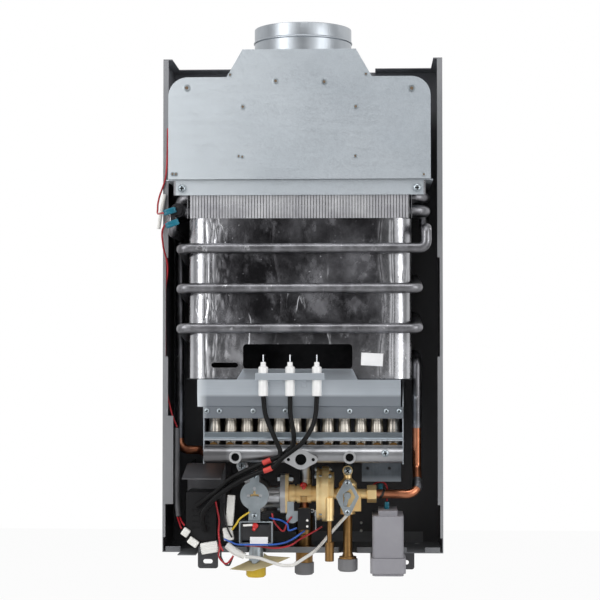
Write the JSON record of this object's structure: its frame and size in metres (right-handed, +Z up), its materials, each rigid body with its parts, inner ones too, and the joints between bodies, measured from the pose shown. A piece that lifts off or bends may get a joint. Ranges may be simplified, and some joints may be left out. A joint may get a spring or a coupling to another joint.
{
  "type": "tankless gas water heater",
  "caption": "Wall-hung tankless gas water heater with its front cover off, showing flue hood, finned exchanger with wound coil, burner row, gas and water valves and battery ignition.",
  "frame": {"origin": "middle of the back face of the tray, on the wall plane", "axes": "+X to the right seen from the front, +Y from the front to the wall, +Z up"},
  "size_m": [0.347, 0.1932, 0.6718],
  "materials": {
    "case_paint": "dark grey powder coat, satin",
    "grey_sheet": "grey coated sheet, satin",
    "galvanised": "galvanised sheet with fine spangle",
    "bright_steel": "bright zinc-plated steel",
    "tinned_copper": "hot-dip tinned copper, uneven sheen",
    "copper": "bare copper pipe",
    "brass": "sand-blasted brass",
    "cast_aluminium": "die-cast, fine grain",
    "zinc_plate": "blue zinc-plated plate",
    "stainless": "pressed stainless sheet",
    "ceramic": "glazed white ceramic",
    "dark_steel": "black painted sheet",
    "black_plastic": "moulded, matte",
    "coil_wrap": "taped winding",
    "grey_plastic": "moulded, fine texture",
    "yellow_plastic": "moulded, soft sheen",
    "white_plastic": "moulded nylon",
    "rubber": "sheet rubber and silicone lead",
    "grey_sleeve": "woven sleeve",
    "red_insulation": "wire insulation",
    "blue_insulation": "wire insulation",
    "tag_paper": "unprinted card",
    "cell": "plain wrapped cell"
  },
  "bodies": {
    "frame": {"chassis": "case_paint", "bottom_plate": "grey_sheet", "wall_brackets": "bright_steel", "flue_collar": "bright_steel", "draft_hood": "galvanised", "hood_front_plate": "galvanised", "hood_base": "galvanised", "sheet_screws": "bright_steel", "fin_pack": "tinned_copper", "fin_tubes": "tinned_copper", "exchanger_shell": "tinned_copper", "coil_tube": "tinned_copper", "hot_pipe": "copper", "supply_pipe": "copper", "union_nut": "brass", "overheat_thermostat": "dark_steel", "connectors": "white_plastic", "burner_box": "galvanised", "burner_front_plate": "galvanised", "burners": "stainless", "burner_rail": "galvanised", "gas_manifold": "cast_aluminium", "nozzles": "brass", "electrode_bracket": "bright_steel", "electrodes": "ceramic", "electrode_needles": "bright_steel", "ignition_leads": "rubber", "cable_sleeves": "grey_sleeve", "gas_valve_body": "cast_aluminium", "gas_valve_plate": "zinc_plate", "solenoid_frame": "bright_steel", "solenoid_coil": "coil_wrap", "gas_inlet": "bright_steel", "gas_tag": "tag_paper", "valve_neck": "brass", "diaphragm": "rubber", "water_section": "brass", "control_plate": "zinc_plate", "water_inlet": "brass", "hot_outlet": "copper", "valve_bolts": "zinc_plate", "switch_bracket": "zinc_plate", "microswitch": "black_plastic", "drip_plate": "galvanised", "controller_shield": "dark_steel", "ignition_controller": "black_plastic", "battery_box": "grey_plastic", "red_wires": "red_insulation", "control_wires": "blue_insulation", "sensor_cable": "white_plastic"},
    "gas_knob": {"gas_spindle": "brass"},
    "water_lever": {"water_spindle": "zinc_plate"},
    "push_rod": {"linkage_rod": "bright_steel"},
    "switch_arm": {"switch_leaf": "bright_steel"},
    "drain": {"drain_plug": "brass"},
    "battery_tray": {"battery_lid": "grey_plastic", "batteries": "cell"},
    "gas_plug": {"gas_cap": "yellow_plastic"},
    "water_plug": {"water_cap": "grey_plastic"},
    "hot_plug": {"hot_cap": "grey_plastic"}
  },
  "joints": [
    {"name": "gas_turn", "type": "hinge", "parent": "frame", "child": "gas_knob", "pos_m": [-0.0555, -0.14, -0.228], "axis": [0, 1, 0], "range_deg": [0, 150]},
    {"name": "water_turn", "type": "hinge", "parent": "frame", "child": "water_lever", "pos_m": [0.055, -0.14, -0.228], "axis": [0, 1, 0], "range_deg": [-28, 28]},
    {"name": "rod_push", "type": "slide", "parent": "frame", "child": "push_rod", "axis": [-1, 0, 0], "range_m": [0, 0.0035]},
    {"name": "leaf_swing", "type": "hinge", "parent": "frame", "child": "switch_arm", "pos_m": [0.0139, -0.163, -0.244], "axis": [0, 1, 0], "range_deg": [0, 9]},
    {"name": "drain_turn", "type": "hinge", "parent": "frame", "child": "drain", "pos_m": [0.03375, -0.1495, -0.27], "axis": [0, 0, 1], "range_deg": [0, 270]},
    {"name": "battery_drop", "type": "slide", "parent": "frame", "child": "battery_tray", "axis": [0, 0, -1], "range_m": [0, 0.07]},
    {"name": "gas_cap_pull", "type": "slide", "parent": "frame", "child": "gas_plug", "axis": [0, 0, -1], "range_m": [0, 0.025]},
    {"name": "water_cap_pull", "type": "slide", "parent": "frame", "child": "water_plug", "axis": [0, 0, -1], "range_m": [0, 0.025]},
    {"name": "hot_cap_pull", "type": "slide", "parent": "frame", "child": "hot_plug", "axis": [0, 0, -1], "range_m": [0, 0.025]}
  ],
  "couplings": [
    {"joint": "leaf_swing", "follows": "rod_push", "rad_per_m": 42.857}
  ]
}
